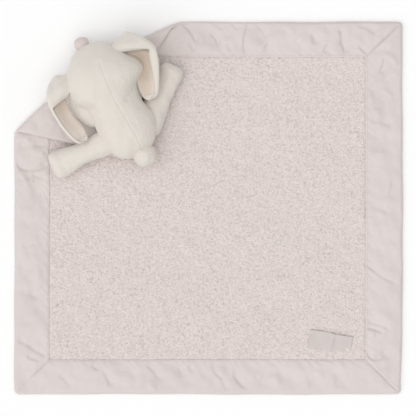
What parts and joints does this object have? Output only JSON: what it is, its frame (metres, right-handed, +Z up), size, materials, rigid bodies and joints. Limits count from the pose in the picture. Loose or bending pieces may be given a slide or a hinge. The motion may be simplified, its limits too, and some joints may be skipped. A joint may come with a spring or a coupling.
{
  "type": "comfort blanket lovey",
  "caption": "Flat square comfort blanket with a satin border and a plush rabbit lying on its folded corner; its head, ears and legs move.",
  "frame": {"origin": "centre of the blanket, on the surface that it lies on", "axes": "+X across the blanket to the rabbit's free side, +Y towards the edge that the rabbit faces, +Z up from the surface"},
  "size_m": [0.4007, 0.3809, 0.0579],
  "materials": {
    "pile_cloth": "looped terry pile",
    "border_satin": "satin",
    "cream_plush": "short plush pile",
    "ear_lining": "satin",
    "pink_plush": "short plush pile",
    "label_satin": "woven satin ribbon",
    "filling": "loose fibre filling"
  },
  "bodies": {
    "root": {"center_panel": "pile_cloth", "border_top": "border_satin", "border_right": "border_satin", "border_bottom": "border_satin", "border_left": "border_satin", "woven_label": "label_satin", "body_cover": "cream_plush", "body_stuffing": "filling", "left_arm_cover": "cream_plush", "left_arm_stuffing": "filling", "right_arm_cover": "cream_plush", "right_arm_stuffing": "filling", "tail_pompom": "cream_plush"},
    "head": {"head_cover": "cream_plush", "head_stuffing": "filling", "nose": "pink_plush"},
    "left_ear": {"left_ear_back": "cream_plush", "left_ear_lining": "ear_lining"},
    "right_ear": {"right_ear_back": "cream_plush", "right_ear_lining": "ear_lining"},
    "left_leg": {"left_leg_cover": "cream_plush", "left_leg_stuffing": "filling"},
    "right_leg": {"right_leg_cover": "cream_plush", "right_leg_stuffing": "filling"}
  },
  "joints": [
    {"name": "head_nod", "type": "hinge", "parent": "root", "child": "head", "pos_m": [-0.09479, 0.1072, 0.0472], "axis": [0.8678, 0.497, 0], "range_deg": [0, 20]},
    {"name": "left_ear_lift", "type": "hinge", "parent": "head", "child": "left_ear", "pos_m": [-0.1409, 0.12835, 0.0436], "axis": [-0.497, 0.8678, 0], "range_deg": [0, 50]},
    {"name": "right_ear_lift", "type": "hinge", "parent": "head", "child": "right_ear", "pos_m": [-0.09138, 0.16348, 0.0436], "axis": [0.4352, -0.9003, 0], "range_deg": [0, 50]},
    {"name": "left_leg_swing", "type": "hinge", "parent": "root", "child": "left_leg", "pos_m": [-0.09783, 0.05297, 0.018], "axis": [0, 0, 1], "range_deg": [0, 40]},
    {"name": "right_leg_swing", "type": "hinge", "parent": "root", "child": "right_leg", "pos_m": [-0.0496, 0.07725, 0.014], "axis": [0, 0, -1], "range_deg": [0, 40]}
  ]
}
